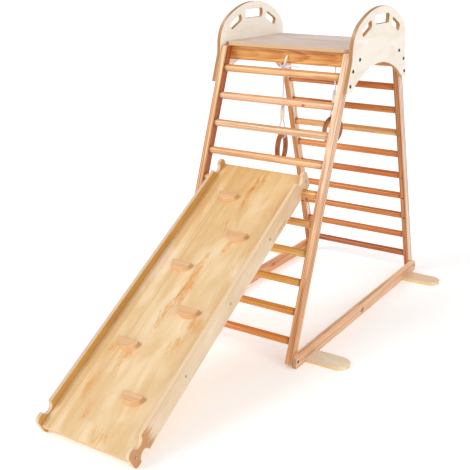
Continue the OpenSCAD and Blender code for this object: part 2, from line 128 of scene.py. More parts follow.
class Shader:
    """A Principled material whose patterns run in a board's own axes, in millimetres."""

    def __init__(self, name, origin=(0, 0, 0), axes=None):
        self.mat = bpy.data.materials.new(name)
        self.mat.use_nodes = True
        self.tree = self.mat.node_tree
        self.bsdf = self.tree.nodes["Principled BSDF"]
        turn = Matrix(axes).transposed().to_euler() if axes else Euler()
        coords = self.tree.nodes.new("ShaderNodeTexCoord")
        self.local = self.mapping(coords.outputs["Object"], origin, turn, (0.001,) * 3, "TEXTURE")
        self.facing = self.mapping(coords.outputs["Normal"], (0, 0, 0), turn, (1, 1, 1), "TEXTURE")

    def node(self, kind, **props):
        made = self.tree.nodes.new(kind)
        for key, value in props.items():
            setattr(made, key, value)
        return made

    def put(self, socket, value):
        if isinstance(value, bpy.types.NodeSocket):
            self.tree.links.new(value, socket)
        elif socket.type == "VECTOR" and hasattr(value, "__len__"):
            socket.default_value = value[:3]
        else:
            socket.default_value = value

    def mapping(self, vector, loc=(0, 0, 0), rot=(0, 0, 0), scale=(1, 1, 1), kind="POINT"):
        made = self.node("ShaderNodeMapping", vector_type=kind)
        self.put(made.inputs["Vector"], vector)
        made.inputs["Location"].default_value = loc
        made.inputs["Rotation"].default_value = rot
        made.inputs["Scale"].default_value = scale
        return made.outputs[0]

    def math(self, op, a, b=0.0, clamp=False):
        made = self.node("ShaderNodeMath", operation=op, use_clamp=clamp)
        for socket, value in zip(made.inputs, (a, b)):
            self.put(socket, value)
        return made.outputs[0]

    def add(self, a, b):
        return self.math("ADD", a, b)

    def sub(self, a, b):
        return self.math("SUBTRACT", a, b)

    def mul(self, a, b):
        return self.math("MULTIPLY", a, b)

    def vec(self, op, a, b=(0, 0, 0)):
        made = self.node("ShaderNodeVectorMath", operation=op)
        self.put(made.inputs[0], a)
        if op != "LENGTH":
            self.put(made.inputs[1], b)
        return made.outputs["Value" if op in ("LENGTH", "DOT_PRODUCT") else "Vector"]

    def split(self, vector):
        made = self.node("ShaderNodeSeparateXYZ")
        self.put(made.inputs[0], vector)
        return made.outputs[0], made.outputs[1], made.outputs[2]

    def join(self, x, y, z):
        made = self.node("ShaderNodeCombineXYZ")
        for socket, value in zip(made.inputs, (x, y, z)):
            self.put(socket, value)
        return made.outputs[0]

    def noise(self, vector, per_mm, seed=0.0, detail=2.0, rough=0.5, bend=0.0, colour=False):
        made = self.node("ShaderNodeTexNoise")
        place = (seed * 7.31, seed * 3.17 + 5, seed * 1.93)
        self.put(made.inputs["Vector"], self.mapping(vector, place, (0, 0, 0), per_mm))
        made.inputs["Scale"].default_value = 1.0
        made.inputs["Detail"].default_value = detail
        made.inputs["Roughness"].default_value = rough
        made.inputs["Distortion"].default_value = bend
        return made.outputs["Color" if colour else "Fac"]

    def step(self, value, low, high, out_low=0.0, out_high=1.0):
        made = self.node("ShaderNodeMapRange", interpolation_type="SMOOTHSTEP")
        for key, v in (("Value", value), ("From Min", low), ("From Max", high),
                       ("To Min", out_low), ("To Max", out_high)):
            self.put(made.inputs[key], v)
        return made.outputs[0]

    def mix(self, fac, a, b, blend="MIX"):
        made = self.node("ShaderNodeMix", data_type="RGBA", blend_type=blend)
        self.put(made.inputs[0], fac)
        self.put(made.inputs[6], a)
        self.put(made.inputs[7], b)
        return made.outputs[2]

    def shade(self, colour, amount):
        """Multiplies a colour by a grey value."""
        made = self.node("ShaderNodeVectorMath", operation="SCALE")
        self.put(made.inputs[0], colour)
        self.put(made.inputs["Scale"], amount)
        return made.outputs[0]

    def finish(self, colour, rough, height=None, bump_mm=0.3, strength=0.5, coat=0.0, **sockets):
        self.put(self.bsdf.inputs["Base Color"], colour)
        self.put(self.bsdf.inputs["Roughness"], rough)
        self.bsdf.inputs["Coat Weight"].default_value = coat
        self.bsdf.inputs["Coat Roughness"].default_value = 0.25
        for key, value in sockets.items():
            self.put(self.bsdf.inputs[key.replace("_", " ")], value)
        if height is not None:
            bump = self.node("ShaderNodeBump")
            bump.inputs["Strength"].default_value = strength
            bump.inputs["Distance"].default_value = bump_mm / 1000
            self.put(bump.inputs["Height"], height)
            self.put(self.bsdf.inputs["Normal"], bump.outputs[0])
        return self.mat


# ---------------------------------------------------------------- wood
def growth_rings(s, p, rnd, spacing, knots=(), cathedral=0.0):
    """(late wood 0..1, knot mask, knot rings) for a solid board; p runs along x in millimetres.

    cathedral is how fast the pith leaves the broad face, which draws pointed arches on it."""
    seed = rnd.uniform(0, 40)
    wander = s.vec("SUBTRACT", s.noise(p, (0.0024, 0.009, 0.009), seed, 2, 0.5, colour=True),
                   (0.5, 0.5, 0.5))
    q = s.vec("ADD", p, s.vec("MULTIPLY", wander, (0, 16, 16)))
    x, y, z = s.split(q)
    knot_mask, knot_rings = 0.0, 0.0
    for kx, ky, radius in knots:
        dx = s.mul(s.sub(x, kx), 0.62)
        dy = s.sub(y, ky)
        d = s.math("SQRT", s.add(s.mul(dx, dx), s.mul(dy, dy)))
        flow = s.math("MAXIMUM", s.sub(1.0, s.math("DIVIDE", radius * radius,
                                                   s.add(s.mul(d, d), 0.5))), 0.0)
        y = s.add(s.mul(dy, flow), ky)
        mask = s.step(d, radius * 1.12, radius * 0.86)
        knot_mask = s.math("MAXIMUM", knot_mask, mask)
        knot_rings = s.math("MAXIMUM", knot_rings,
                            s.mul(mask, s.math("FRACT", s.mul(d, 1 / 1.7))))
    side = 1 if rnd.random() < 0.5 else -1
    far = rnd.uniform(26, 75)
    tilt = rnd.choice((-1, 1)) * rnd.uniform(0.006, 0.02)
    ry = s.add(s.add(y, side * far), s.mul(x, tilt))
    rz = s.add(z, rnd.uniform(-34, 34))
    if cathedral:
        ry = s.add(y, s.mul(x, tilt * 0.5))
        rz = s.add(z, s.add(s.mul(x, cathedral), 34.0))
    r = s.math("SQRT", s.add(s.mul(ry, ry), s.mul(rz, rz)))
    loose = s.mul(s.noise(p, (0.004, 0.06, 0.06), seed + 3, 3, 0.55), 1.5)
    rings = s.add(s.mul(r, 1 / spacing), loose)
    f = s.math("FRACT", rings)
    late = s.mul(s.step(f, 0.12, 0.86), s.step(f, 1.0, 0.88))
    white = s.node("ShaderNodeTexWhiteNoise", noise_dimensions="1D")
    s.put(white.inputs["W"], s.math("FLOOR", rings))
    late = s.mul(late, s.add(s.mul(white.outputs[0], 0.65), 0.35))
    return late, knot_mask, knot_rings


def tones(rgb, spread=1.0):
    """(light, dark) linear wood colours whose blend reads as the given sRGB colour."""
    base = linear(rgb)
    light = tuple(min(0.93, c * (1 + 0.13 * spread)) for c in base[:3])
    dark = tuple(c * (1 - k * spread) for c, k in zip(base, (0.26, 0.40, 0.54)))
    return light + (1.0,), dark + (1.0,)


def tinted(s, colour, tints):
    """Multiplies the faces that look along (nx, ny, nz) of the board's axes by (r, g, b)."""
    for direction, factor in tints:
        mask = s.step(s.vec("DOT_PRODUCT", s.facing, direction), 0.45, 0.8)
        colour = s.mix(mask, colour, s.mix(1.0, colour, factor + (1.0,), "MULTIPLY"))
    return colour


def arris(s):
    """1 on a rounded arris and 0 on the flats either side of it."""
    x, y, z = s.split(s.vec("ABSOLUTE", s.facing))
    return s.step(s.math("MAXIMUM", s.math("MAXIMUM", x, y), z), 0.97, 0.82)


def pine(name, origin, axes, seed, mean, spacing=5.2, knots=(), spread=1.0, tints=(),
         streaks=0.5, worn_and_lit=True, fade=None, stripes=0.0, gloss=0.08, smooth=0.40,
         cathedral=0.0, joint_shade_at=0):
    """Oiled solid pine: growth rings, fibres, resin streaks, knots and pinkish heartwood."""
    rnd = random.Random(seed)
    s = Shader(name, origin, axes)
    p = s.local
    light, dark = tones(mean, spread)
    late, knot, knot_rings = growth_rings(s, p, rnd, spacing, knots, cathedral)
    bold = s.step(s.noise(p, (0.0012, 0.17, 0.17), seed + 31, 2, 0.5), 0.47, 0.58, 0.0, stripes)
    broad = s.noise(p, (0.0018, 0.03, 0.03), seed + 11, 2)
    fibre = s.noise(p, (0.02, 1.3, 1.3), seed + 5, 3, 0.6)
    streak = s.noise(p, (0.0045, 0.16, 0.16), seed + 8, 2.5, 0.6)
    colour = s.mix(s.math("ADD", s.mul(late, 0.72), s.mul(s.sub(streak, 0.45), 0.9), clamp=True),
                   light, dark)
    colour = s.mix(bold, colour, s.mix(1.0, dark, (0.88, 0.74, 0.64, 1.0), "MULTIPLY"))
    colour = s.mix(s.step(broad, 0.40, 0.68, 0.0, 0.55), colour,
                   s.mix(1.0, colour, (0.93, 0.80, 0.68, 1.0), "MULTIPLY"))
    resin = s.step(s.noise(p, (0.007, 0.30, 0.30), seed + 17, 2.5, 0.6), 0.60, 0.72, 0.0, streaks)
    colour = s.mix(resin, colour, s.mix(1.0, dark, (0.62, 0.46, 0.34, 1.0), "MULTIPLY"))
    if knots:
        colour = s.mix(s.mul(knot, 0.8), colour, linear((168, 92, 50)))
        colour = s.mix(s.mul(knot_rings, 0.5), colour, linear((112, 52, 26)))
    colour = tinted(s, colour, tints)
    if fade:
        colour = s.mix(s.step(s.split(p)[0], fade[0], fade[1]), colour,
                       s.mix(1.0, colour, fade[2] + (1.0,), "MULTIPLY"))
    ends = s.step(s.math("ABSOLUTE", s.split(s.facing)[0]), 0.7, 0.9, 1.0, 0.76)
    colour = s.shade(colour, s.mul(s.add(s.mul(fibre, 0.26), 0.87), ends))
    if joint_shade_at:               # painted shade: the rung darkened where it enters its posts
        colour = s.shade(colour, s.step(s.math("ABSOLUTE", s.split(p)[0]), joint_shade_at - 16, joint_shade_at - 1,
                                        1.0, 0.5))
    # the rounded arrises lightened: partly rubbed wear, partly a painted highlight where the edges
    # catch light
    if worn_and_lit:
        rub_and_highlight = s.mul(arris(s), s.step(s.noise(p, (0.01, 0.05, 0.05), seed + 21, 2),
                                     0.35, 0.65, 0.2, 0.5))
        colour = s.mix(rub_and_highlight, colour, s.mix(0.5, light, (0.9, 0.8, 0.68, 1.0)))
    rough = s.add(smooth, s.add(s.mul(fibre, 0.16), s.mul(late, -0.07)))
    height = s.add(s.mul(late, 0.55), s.mul(fibre, 0.5))
    return s.finish(colour, rough, height, 0.22, 0.35, coat=gloss)


def veneer(name, origin, axes, seed, base, line, edge_light, edge_dark, thick, flames=(),
           line_gain=0.5, figure=(0.0016, 0.012), bands=20, flame=(224, 150, 60), ply=1.5,
           tints=(), cloud=0.5, straight=None, wild=0.35, fade=None, solid=0.75):
    """Plywood: a face veneer with cathedral figure, and its plies on every cut edge.

    flames are orange streaks (along, across, length, width, strength) in millimetres, and
    straight is a strip (across from, across to) of long plain lines."""
    s = Shader(name, origin, axes)
    p = s.local
    x, y, z = s.split(p)
    flat = s.join(x, y, s.mul(z, 0.02))
    figure_noise = s.noise(flat, (figure[0], figure[1], 0.01), seed, 1.6, 0.42, 0.15)
    f = s.math("FRACT", s.mul(figure_noise, bands))
    lines = s.mul(s.step(f, 0.25, 0.92), s.step(f, 1.0, 0.93))
    patch = s.noise(flat, (0.0032, 0.016, 0.01), seed + 4, 2)
    gain = s.mul(s.step(patch, 0.3, 0.7), line_gain)
    if straight:
        inside = s.mul(s.step(y, straight[0] - 15, straight[0] + 15),
                       s.step(y, straight[1] + 25, straight[1] - 25))
        plain = s.noise(flat, (0.0005, 0.075, 0.01), seed + 24, 2.5, 0.55)
        plain = s.mul(s.step(plain, 0.44, 0.66), inside)
        lines = s.math("MAXIMUM", s.mul(lines, s.sub(1.0, s.mul(inside, 0.7))), plain)
        gain = s.math("MAXIMUM", gain, s.mul(inside, 0.85))
    fibre = s.noise(flat, (0.018, 0.8, 0.8), seed + 6, 3, 0.6)
    colour = s.mix(s.mul(lines, gain), linear(base), linear(line))
    clouds = s.noise(flat, (0.0045, 0.012, 0.01), seed + 30, 2.5, 0.55, 0.6)
    colour = s.mix(s.step(clouds, 0.42, 0.66, 0.0, cloud), colour, linear(line))
    colour = s.mix(s.step(clouds, 0.44, 0.28, 0.0, cloud * 0.7), colour,
                   s.mix(0.55, linear(base), (1.0, 0.97, 0.90, 1.0)))
    ragged = s.noise(flat, (0.013, 0.06, 0.01), seed + 9, 4, 0.66, 1.2)
    total = 0.0
    for along, across, length, width, strength in flames:
        dx = s.mul(s.sub(x, along), 1 / length)
        dy = s.mul(s.sub(y, across), 1 / width)
        spot = s.math("EXPONENT", s.mul(s.add(s.mul(dx, dx), s.mul(dy, dy)), -1.0))
        total = s.math("MAXIMUM", total, s.mul(spot, strength))
    stray = s.mul(s.step(s.noise(flat, (0.004, 0.02, 0.01), seed + 13, 2), 0.55, 0.75), wild)
    total = s.math("MAXIMUM", total, stray)
    torn = s.noise(flat, (0.03, 0.22, 0.01), seed + 19, 4, 0.7, 0.8)
    wash = s.step(s.add(total, s.mul(s.sub(ragged, 0.5), 2.0)), 0.22, 0.80, 0.0, 0.85)
    colour = s.mix(wash, colour, s.mix(0.50, linear(base), linear(flame)))
    heart = s.step(s.add(s.add(total, s.mul(s.sub(ragged, 0.5), 2.4)),
                         s.mul(s.sub(torn, 0.5), 1.5)), 0.55, 1.20, 0.0, solid)
    colour = s.mix(heart, colour, linear(flame))
    colour = tinted(s, colour, tints)
    if fade:
        colour = s.mix(s.step(x, fade[0], fade[1]), colour,
                       s.mix(1.0, colour, fade[2] + (1.0,), "MULTIPLY"))
    level = s.add(s.add(s.mul(fibre, 0.12), 0.90), s.mul(patch, 0.08))
    colour = s.shade(colour, level)
    # cut edges: plies across the thickness, every other one end grain
    layer = s.add(s.mul(z, 1 / ply),
                  s.add(thick / 2 / ply, s.mul(s.noise(p, (0.01, 0.01, 0.3), seed + 2), 0.3)))
    odd = s.math("PINGPONG", layer, 1.0)
    dark = s.step(odd, 0.35, 0.65)
    grit = s.noise(p, (0.5, 0.5, 1.2), seed + 3, 3, 0.7)
    edge = s.mix(dark, linear(edge_light), linear(edge_dark))
    edge = s.shade(edge, s.add(0.82, s.mul(grit, 0.34)))
    on_edge = s.step(s.math("ABSOLUTE", s.split(s.facing)[2]), 0.80, 0.55)
    colour = s.mix(on_edge, colour, edge)
    # the rounded arrises lightened: partly rubbed wear, partly a painted highlight where the edges
    # catch light
    rub_and_highlight = s.mul(arris(s), s.step(s.noise(p, (0.03, 0.03, 0.03), seed + 21, 2),
                                 0.35, 0.65, 0.15, 0.45))
    colour = s.mix(rub_and_highlight, colour, s.mix(0.5, linear(base), linear(edge_light)))
    rough = s.add(s.add(0.42, s.mul(fibre, 0.14)), s.mul(on_edge, 0.2))
    height = s.add(s.mul(lines, 0.15), s.add(s.mul(fibre, 0.4), s.mul(s.mul(on_edge, dark), 0.8)))
    return s.finish(colour, rough, height, 0.18, 0.35, coat=0.06)


def ring_wood(name, centre, seed):
    """Turned and varnished wood whose fibres run round the ring."""
    s = Shader(name, centre)
    x, y, z = s.split(s.local)
    rho = s.math("SQRT", s.add(s.mul(y, y), s.mul(z, z)))
    around = s.join(s.mul(s.math("DIVIDE", y, rho), 60.0), s.mul(s.math("DIVIDE", z, rho), 60.0),
                    s.add(s.mul(rho, 1.0), s.mul(x, 0.7)))
    bands = s.noise(around, (0.012, 0.012, 0.35), seed, 3, 0.55)
    fibre = s.noise(around, (0.05, 0.05, 2.4), seed + 2, 3, 0.6)
    colour = s.mix(s.step(bands, 0.32, 0.68), linear((190, 108, 46)), linear((118, 58, 24)))
    colour = s.shade(colour, s.add(0.86, s.mul(fibre, 0.28)))
    return s.finish(colour, s.add(0.28, s.mul(fibre, 0.15)), fibre, 0.15, 0.3, coat=0.3)


def metal(name, tone, rough, metallic, seed):
    """Plated steel: fine turning marks and a handling haze that darkens it in patches."""
    s = Shader(name)
    haze = s.noise(s.local, (0.35, 0.35, 0.35), seed, 3, 0.6)
    fine = s.noise(s.local, (4.0, 4.0, 4.0), seed + 1, 2, 0.6)
    deep = linear(tuple(int(c * 0.62) for c in tone))
    colour = s.shade(s.mix(s.mul(haze, 0.5), linear(tone), deep), s.add(0.9, s.mul(fine, 0.2)))
    return s.finish(colour, s.add(rough, s.mul(haze, 0.2)), fine, 0.03, 0.3, Metallic=metallic)


def rope_material(name, tone, seed):
    """Braided cotton-look cord: fibre fuzz and soiling over the modelled braid."""
    s = Shader(name)
    fuzz = s.noise(s.local, (2.2, 2.2, 2.2), seed, 3, 0.7)
    soil = s.noise(s.local, (0.03, 0.03, 0.03), seed + 1, 3, 0.6)
    soiled = linear(tuple(int(c * 0.9) for c in tone))
    colour = s.shade(s.mix(s.step(soil, 0.45, 0.8), linear(tone), soiled),
                     s.add(0.95, s.mul(fuzz, 0.1)))
    return s.finish(colour, 0.85, fuzz, 0.25, 0.6, Sheen_Weight=0.3)


# ---------------------------------------------------------------- refined copies of CAD boards
LARGEST_BORE = 0.022                         # sharp rims smaller than this stay sharp


def small_loops(edges, limit):
    """Edges of the sharp loops whose own box is smaller than limit: bores that keep their rim."""
    todo, small = set(edges), set()
    while todo:
        stack, loop = [todo.pop()], []
        while stack:
            e = stack.pop()
            loop.append(e)
            for v in e.verts:
                for other in v.link_edges:
                    if other in todo:
                        todo.discard(other)
                        stack.append(other)
        points = [v.co for e in loop for v in e.verts]
        size = Vector([max(p[i] for p in points) - min(p[i] for p in points) for i in range(3)])
        if size.length < limit:
            small.update(loop)
    return small


def even_normals(bm, arrises):
    """A normal for every face corner: flats stay flat and arrises blend between them."""
    out = []
    for f in bm.faces:
        rounded = f in arrises
        for loop in f.loops:
            total = Vector()
            flats = [g for g in loop.vert.link_faces if g not in arrises]
            if rounded and flats:
                total = max(flats, key=lambda g: g.normal.dot(f.normal)).normal.copy()
            else:
                for g in loop.vert.link_faces:
                    if (g in arrises) == rounded and g.normal.dot(f.normal) > 0.82:
                        total += g.normal * g.calc_area() ** 0.5
            out.append(tuple((total if total.length > 1e-9 else f.normal).normalized()))
    return out


def refined(node, radius):
    """A copy of a CAD board with rounded arrises, which stands for its node."""
    mesh = nodes[node].data.copy()
    mesh.name = f"{node}_timber"
    for layer in [a.name for a in mesh.attributes if a.name == "custom_normal"]:
        mesh.attributes.remove(mesh.attributes[layer])
    bm = bmesh.new()
    bm.from_mesh(mesh)
    bmesh.ops.remove_doubles(bm, verts=bm.verts, dist=2e-6)
    bmesh.ops.dissolve_limit(bm, angle_limit=math.radians(0.4), verts=bm.verts, edges=bm.edges)
    sharp = [e for e in bm.edges
             if len(e.link_faces) == 2 and e.calc_face_angle(0) > math.radians(35)]
    skip = small_loops(sharp, LARGEST_BORE)
    arrises = set(bmesh.ops.bevel(
        bm, geom=[e for e in sharp if e not in skip], offset=radius, segments=3,
        profile=0.5, affect="EDGES", clamp_overlap=False)["faces"])
    bmesh.ops.triangulate(bm, faces=[f for f in bm.faces if len(f.verts) > 4 and f not in arrises])
    for f in bm.faces:
        f.smooth = True
    bm.normal_update()
    normals = even_normals(bm, arrises)
    bm.to_mesh(mesh)
    bm.free()
    mesh.materials.clear()
    mesh.normals_split_custom_set(normals)
    piece = bpy.data.objects.new(mesh.name, mesh)
    bpy.context.scene.collection.objects.link(piece)
    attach(piece, nodes[node]["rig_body"])
    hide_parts(node)
    return piece


def face_loops(node, turn, high):
    """Outlines of a board's broad face, in the board's own axes (z is across the board)."""
    bm = bmesh.new()
    bm.from_mesh(nodes[node].data)
    bmesh.ops.remove_doubles(bm, verts=bm.verts, dist=2e-6)
    bmesh.ops.transform(bm, matrix=turn, verts=bm.verts)
    bm.normal_update()
    top = max(v.co.z for v in bm.verts) if high else min(v.co.z for v in bm.verts)
    face = {f for f in bm.faces if all(abs(v.co.z - top) < 1e-5 for v in f.verts)}
    rim = {e for e in bm.edges if sum(f in face for f in e.link_faces) == 1}
    loops = []
    while rim:
        edge = rim.pop()
        first, last = edge.verts
        loop = [first.co.copy()]
        while last is not first:
            loop.append(last.co.copy())
            edge = next(e for e in last.link_edges if e in rim)
            rim.discard(edge)
            last = edge.other_vert(last)
        loops.append(loop)
    heights = [v.co.z for v in bm.verts]
    bm.free()
    return loops, min(heights), max(heights)


def straightened(loop):
    """The loop without points that lie on a straight run."""
    kept = []
    for i, b in enumerate(loop):
        a, c = loop[i - 1], loop[(i + 1) % len(loop)]
        if (b - a).angle(c - b, 0) > 0.002:
            kept.append(b)
    return kept


def board(node, origin, axes, radius, high=True):
    """A flat board with rounded arrises, lofted from the outline of the CAD board's broad face."""
    to_world = Matrix.Translation(origin) @ Matrix(axes).transposed().to_4x4()
    loops, low, top = face_loops(node, to_world.inverted(), high)
    curve = bpy.data.curves.new(f"{node}_outline", "CURVE")
    curve.dimensions = "2D"
    curve.fill_mode = "BOTH"
    for loop in loops:
        loop = straightened(loop)
        spline = curve.splines.new("POLY")
        spline.points.add(len(loop) - 1)
        for point, place in zip(spline.points, loop):
            point.co = (place.x, place.y, 0, 1)
        spline.use_cyclic_u = True
    curve.extrude = (top - low) / 2 - radius
    curve.bevel_depth = radius
    curve.bevel_resolution = 2
    curve.offset = -radius
    holder = bpy.data.objects.new(curve.name, curve)
    bpy.context.scene.collection.objects.link(holder)
    graph = bpy.context.evaluated_depsgraph_get()
    mesh = bpy.data.meshes.new_from_object(holder.evaluated_get(graph))
    bpy.data.objects.remove(holder)
    bpy.data.curves.remove(curve)
    bm = bmesh.new()
    bm.from_mesh(mesh)
    bmesh.ops.remove_doubles(bm, verts=bm.verts, dist=2e-6)
    bmesh.ops.recalc_face_normals(bm, faces=bm.faces)
    bm.normal_update()
    arrises = {f for f in bm.faces if 0.03 < abs(f.normal.z) < 0.97}
    for f in bm.faces:
        f.smooth = True
    bmesh.ops.transform(bm, matrix=to_world @ Matrix.Translation((0, 0, (top + low) / 2)),
                        verts=bm.verts)
    bm.normal_update()
    normals = even_normals(bm, arrises)
    bm.to_mesh(mesh)
    bm.free()
    mesh.name = f"{node}_timber"
    mesh.materials.clear()
    mesh.normals_split_custom_set(normals)
    piece = bpy.data.objects.new(mesh.name, mesh)
    bpy.context.scene.collection.objects.link(piece)
    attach(piece, nodes[node]["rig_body"])
    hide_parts(node)
    return piece


def half_moon(node, centre):
    """A climbing stone: flat side up the slope, and a drafted, rounded-over curved side."""
    radius, cut, draft, thick, over = 50.0, 22.0, 6.0, 20.0, 5.5
    levels = [(0.0, 0.0, 0.0), (7.0, draft * 0.35, 0.0)]
    for k in range(7):
        a = math.radians(15 * k)
        levels.append((thick - over + over * math.sin(a),
                       draft * (thick - over) / thick + over * (1 - math.cos(a)),
                       1.4 * (1 - math.cos(a))))
    bm = bmesh.new()
    rings = []
    for height, inset, edge in levels:
        r, line = radius - inset, cut - edge - 28.0
        reach = math.asin(line / r)
        ring = []
        for k in range(33):
            a = -math.pi - reach + (math.pi + 2 * reach) * k / 32
            ring.append((r * math.cos(a), r * math.sin(a) + 28.0))
        ring += [(ring[-1][0] * (1 - k / 4) + ring[0][0] * k / 4, cut - edge) for k in (1, 2, 3)]
        rings.append([bm.verts.new(centre + (X * x + SLIDE_UP * y + SLIDE_OUT * height) / 1000)
                      for x, y in ring])
    count = len(rings[0])
    for low, high in zip(rings, rings[1:]):
        for k in range(count):
            m = (k + 1) % count
            bm.faces.new((low[k], low[m], high[m], high[k]))
    bm.faces.new(rings[0][::-1])
    bm.faces.new(rings[-1])
    bmesh.ops.recalc_face_normals(bm, faces=bm.faces)
    for f in bm.faces:
        f.smooth = True
    mesh = bpy.data.meshes.new(f"{node}_shaped")
    bm.to_mesh(mesh)
    bm.free()
    mesh.set_sharp_from_angle(angle=math.radians(40))
    piece = bpy.data.objects.new(mesh.name, mesh)
    bpy.context.scene.collection.objects.link(piece)
    even = piece.modifiers.new("even", "WEIGHTED_NORMAL")
    even.keep_sharp = True
    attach(piece, "slide")
    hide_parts(node)
    return piece


def paint(piece, material):
    piece.data.materials.clear()
    piece.data.materials.append(material)
    return piece


def repaint(node, material):
    """Gives a CAD node that stays a better material."""
    for i in range(len(nodes[node].material_slots)):
        nodes[node].material_slots[i].material = material


def middle(node):
    low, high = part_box(node)
    return (low + high) / 2


X, Y, Z = Vector((1, 0, 0)), Vector((0, 1, 0)), Vector((0, 0, 1))
FLAT, SIDEWAYS = (X, Y, Z), (Y, Z, X)

# ---------------------------------------------------------------- ropes
ROPE_D = 0.007
ROPE_Y = -240                               # plane of the front rope, from the tower's middle
HOLE_Z, KNOT_Z, STOPPER_Z, ADJUSTER_Z = 1182, 1134, 967.2, 936.5
DROP_X = {"front": -11, "rear": -5}         # a rope hangs this far beside its hole
TWIST = {"front": 11, "rear": -15}          # turn of a ring about its rope, in degrees
LOOP_ROUTE = [
    (0, -240, 1146.5), (0, -240, 1153), (0, -240, 1160), (0, -240, 1168),
    (0, -238.5, 1175), (0, -234, 1180), (0, -227, 1182), (0, -213, 1182),
    (0, -199, 1182), (0, -192, 1180), (0, -187.5, 1175), (0, -186, 1168),
    (0, -186, 1158), (0, -186, 1148), (0, -188, 1141), (0, -193, 1136),
    (0, -200, 1134), (0, -210, 1134), (0, -220, 1134), (0, -227.5, 1134),
]
ROPE_ROUTE = [
    (0, -240, 1121.5), (0, -240, 1100), (0, -240, 1070), (0, -240, 1045),
    (0, -240, 1028), (-1, -240, 1015), (-3.2, -240, 1002), (-4.6, -240, 988),
    (-4.6, -240, 972), (-4.6, -240, 955), (-4.6, -240, 935), (-4.6, -240, 914),
    (-6.5, -240, 900), (-10.5, -240, 886), (-14, -240, 872), (-15.5, -240, 860),
    (-15.5, -240, 849), (-13.5, -240, 841), (-8, -240, 835.5), (0, -240, 833.5),
    (8, -240, 835.5), (13.5, -240, 841), (15.5, -240, 849), (15.5, -240, 860),
    (14, -240, 872), (10.5, -240, 886), (6.5, -240, 900), (4.6, -240, 914),
    (4.6, -240, 935), (4.6, -240, 955), (4.6, -240, 970),
]
TAIL_ROUTE = [
    (12.2, -240, 1136), (20, -240, 1139), (30, -240, 1142), (40, -240, 1143.5),
    (50, -240, 1143.5), (60, -240, 1142), (70, -240, 1139.5),
]


def in_part(route, end, how):
    """A route in the tower's millimetres to the part's metres; the rear one is turned half round.

    how: "lean" from the hole to the knot, "hang" on the rope's line, or "twist" with the ring."""
    drop, turn = DROP_X[end], -1 if end == "rear" else 1
    a = math.radians(TWIST[end]) if how == "twist" else 0.0
    out = []
    for x, y, z in route:
        if how == "lean":
            x += drop * (HOLE_Z - z) / (HOLE_Z - KNOT_Z)
        else:
            x, y = (drop + x * math.cos(a) - (y - ROPE_Y) * math.sin(a),
                    x * math.sin(a) + (y - ROPE_Y) * math.cos(a) + ROPE_Y)
        out.append(Vector((turn * x / 1000, turn * y / 1000 + TOWER_Y, z / 1000)))
    return out


def smooth_line(points, step):
    """Catmull-Rom through the points, with points about step apart."""
    ends = [points[0] * 2 - points[1]] + list(points) + [points[-1] * 2 - points[-2]]
    dense = []
    for a, b, c, d in zip(ends, ends[1:], ends[2:], ends[3:]):
        for k in range(16):
            t = k / 16
            dense.append(0.5 * ((2 * b) + (c - a) * t + (2 * a - 5 * b + 4 * c - d) * t * t
                                + (3 * b - a - 3 * c + d) * t ** 3))
    dense.append(points[-1])
    along = [0.0]
    for a, b in zip(dense, dense[1:]):
        along.append(along[-1] + (b - a).length)
    count = max(2, round(along[-1] / step))
    line, j = [], 0
    for i in range(count + 1):
        want = along[-1] * i / count
        while j < len(along) - 2 and along[j + 1] < want:
            j += 1
        t = (want - along[j]) / max(along[j + 1] - along[j], 1e-9)
        line.append(dense[j].lerp(dense[j + 1], min(1, max(0, t))))
    return line, along[-1]


def braid(around, along, radius):
    """Surface radius of a braided cord: two families of strands pass over and under."""
    pairs, pitch = 4.0, 0.021
    a = math.sin(pairs * around + pairs * 2 * math.pi * along / pitch)
    b = math.sin(pairs * around - pairs * 2 * math.pi * along / pitch)
    return radius * (0.89 + 0.13 * max(abs(a), abs(b)))


def swept(name, line, radius):
    """A braided tube along a line, on frames carried along it without twist."""
    sides = 20
    bm = bmesh.new()
    tangents = [(line[min(i + 1, len(line) - 1)] - line[max(i - 1, 0)]).normalized()
                for i in range(len(line))]
    normal = tangents[0].orthogonal().normalized()
    rings, along = [], 0.0
    for i, (point, tangent) in enumerate(zip(line, tangents)):
        if i:
            along += (point - line[i - 1]).length
            normal = (normal - tangent * normal.dot(tangent)).normalized()
        side = tangent.cross(normal)
        ring = []
        for k in range(sides):
            a = 2 * math.pi * k / sides
            r = braid(a, along, radius)
            ring.append(bm.verts.new(point + (normal * math.cos(a) + side * math.sin(a)) * r))
        rings.append(ring)
    for first, second in zip(rings, rings[1:]):
        for k in range(sides):
            m = (k + 1) % sides
            bm.faces.new((first[k], first[m], second[m], second[k]))
    bm.faces.new(rings[0][::-1])
    bm.faces.new(rings[-1])
    for f in bm.faces:
        f.smooth = len(f.verts) == 4
    bmesh.ops.recalc_face_normals(bm, faces=bm.faces)
    mesh = bpy.data.meshes.new(name)
    bm.to_mesh(mesh)
    bm.free()
    piece = bpy.data.objects.new(name, mesh)
    bpy.context.scene.collection.objects.link(piece)
    return piece


def knot_line(centre, size, turn):
    """An overhand knot's line: an open trefoil of the given size, entered above, left below."""
    points = []
    for i in range(61):
        t = -2.02 + 4.04 * i / 60
        raw = Vector((t ** 3 - 3 * t, t ** 5 / 5 - 2 * t, t ** 4 - 4 * t * t + 2.0))
        points.append(raw)
    span = [max(abs(p[k]) for p in points[8:-8]) for k in range(3)]
    return [centre + turn @ Vector([p[k] / span[k] * size[k] for k in range(3)]) for p in points]


rope_white = rope_material("rope_white", (253, 251, 255), 1.0)
# a greyer copy of the white cord for the hanging rope and knots: painted shade
rope_shaded_grey = rope_material("rope_painted_shade", (232, 228, 236), 4.0)


